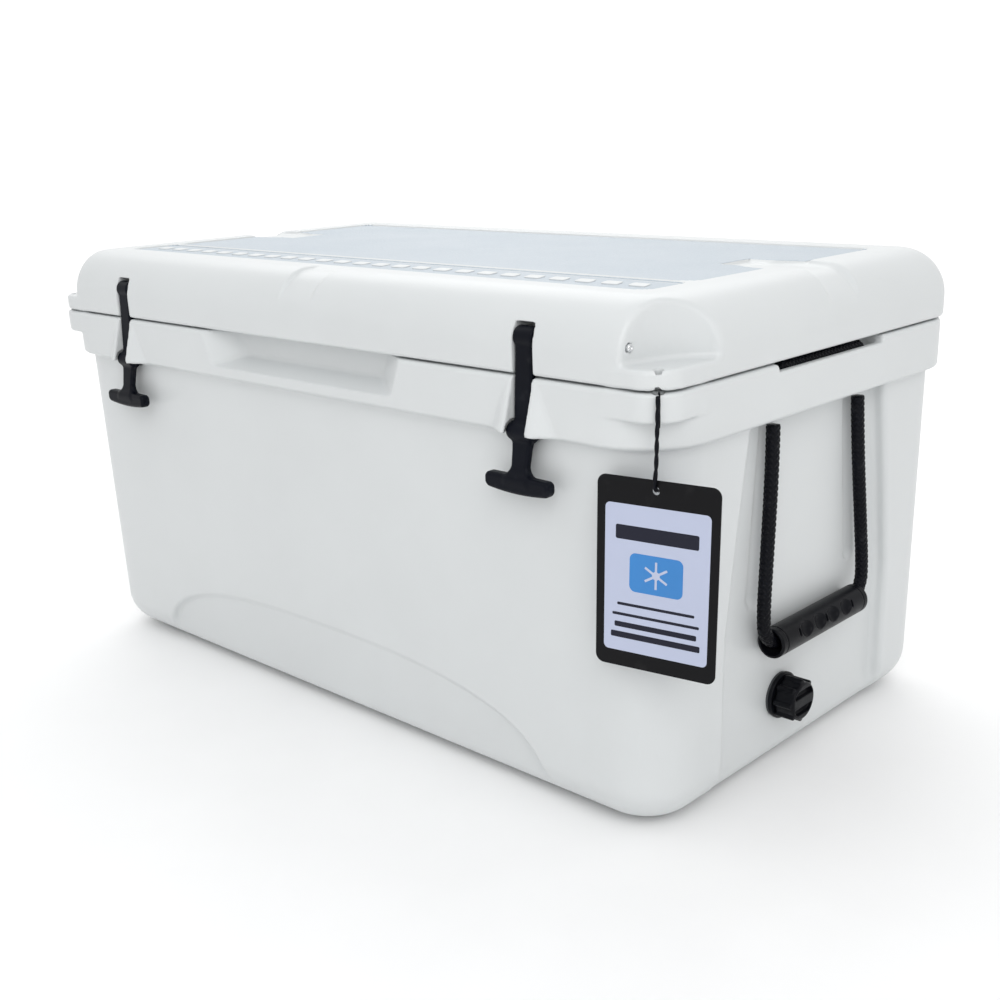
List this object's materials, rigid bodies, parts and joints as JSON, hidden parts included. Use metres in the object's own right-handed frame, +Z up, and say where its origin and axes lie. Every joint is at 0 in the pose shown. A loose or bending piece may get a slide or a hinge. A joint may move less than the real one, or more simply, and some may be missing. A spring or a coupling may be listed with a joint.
{
  "type": "cooler chest",
  "caption": "Rotomoulded hard cooler chest with a hinged foam-filled lid, rubber T-latches, rope handles and a screw-cap drain.",
  "frame": {"origin": "centre of the rim's plan on the plane that the rubber feet stand on", "axes": "+X to the viewer's right along the front, +Y to the back where the hinges are, +Z up"},
  "size_m": [0.8903, 0.5014, 0.436],
  "materials": {
    "white_shell": "satin moulded polyethylene",
    "foam": "cut foam",
    "black_rubber": "satin",
    "grey_rubber": "matt",
    "steel": "polished",
    "rope": "braided",
    "black_plastic": "satin moulded",
    "card": "laminated card"
  },
  "bodies": {
    "tub": {"tub_outer": "white_shell", "tub_liner": "white_shell", "tub_rim": "white_shell", "tub_foam": "foam", "rubber_feet": "black_rubber", "hinge_rod_left": "steel", "hinge_rod_right": "steel", "rope_bridge_left": "rope", "rope_bridge_right": "rope", "drain_fitting": "black_plastic", "drain_gasket": "grey_rubber", "drain_nut": "black_plastic", "tag_loop": "rope"},
    "lid": {"lid_shell": "white_shell", "lid_foam": "foam", "lid_gasket": "grey_rubber", "foam_plugs": "white_shell", "latch_pin_left": "steel", "latch_pin_right": "steel"},
    "latch_left_body": {"latch_left": "black_rubber"},
    "latch_right_body": {"latch_right": "black_rubber"},
    "handle_left": {"rope_left": "rope", "grip_left": "black_plastic"},
    "handle_right": {"rope_right": "rope", "grip_right": "black_plastic"},
    "drain_carriage": {"drain_seal": "grey_rubber"},
    "drain_cap_body": {"drain_cap": "black_plastic"},
    "tag": {"tag_string": "rope", "hang_tag": "card"}
  },
  "joints": [
    {"name": "lid_hinge", "type": "hinge", "parent": "tub", "child": "lid", "pos_m": [0, 0.2449, 0.3732], "axis": [-1, 0, 0], "range_deg": [0, 100]},
    {"name": "latch_left_pivot", "type": "hinge", "parent": "lid", "child": "latch_left_body", "pos_m": [-0.285, -0.2235, 0.402], "axis": [-1, 0, 0], "range_deg": [0, 95], "deforming": ["latch_left"]},
    {"name": "latch_right_pivot", "type": "hinge", "parent": "lid", "child": "latch_right_body", "pos_m": [0.285, -0.2235, 0.402], "axis": [-1, 0, 0], "range_deg": [0, 95], "deforming": ["latch_right"]},
    {"name": "handle_left_swing", "type": "hinge", "parent": "tub", "child": "handle_left", "pos_m": [-0.4055, 0, 0.32], "axis": [0, 1, 0], "range_deg": [0, 85]},
    {"name": "handle_right_swing", "type": "hinge", "parent": "tub", "child": "handle_right", "pos_m": [0.4055, 0, 0.32], "axis": [0, -1, 0], "range_deg": [0, 85]},
    {"name": "drain_cap_travel", "type": "slide", "parent": "tub", "child": "drain_carriage", "axis": [1, 0, 0], "range_m": [0, 0.009]},
    {"name": "drain_cap_turn", "type": "hinge", "parent": "drain_carriage", "child": "drain_cap_body", "pos_m": [0.4045, -0.033, 0.067], "axis": [1, 0, 0], "range_deg": [0, 1081]},
    {"name": "tag_swing", "type": "hinge", "parent": "tub", "child": "tag", "pos_m": [0.4128, -0.2308, 0.372], "axis": [-1, 0, 0], "range_deg": [0, 60]}
  ],
  "couplings": [
    {"joint": "drain_cap_turn", "follows": "drain_cap_travel", "rad_per_m": 2094.4}
  ]
}
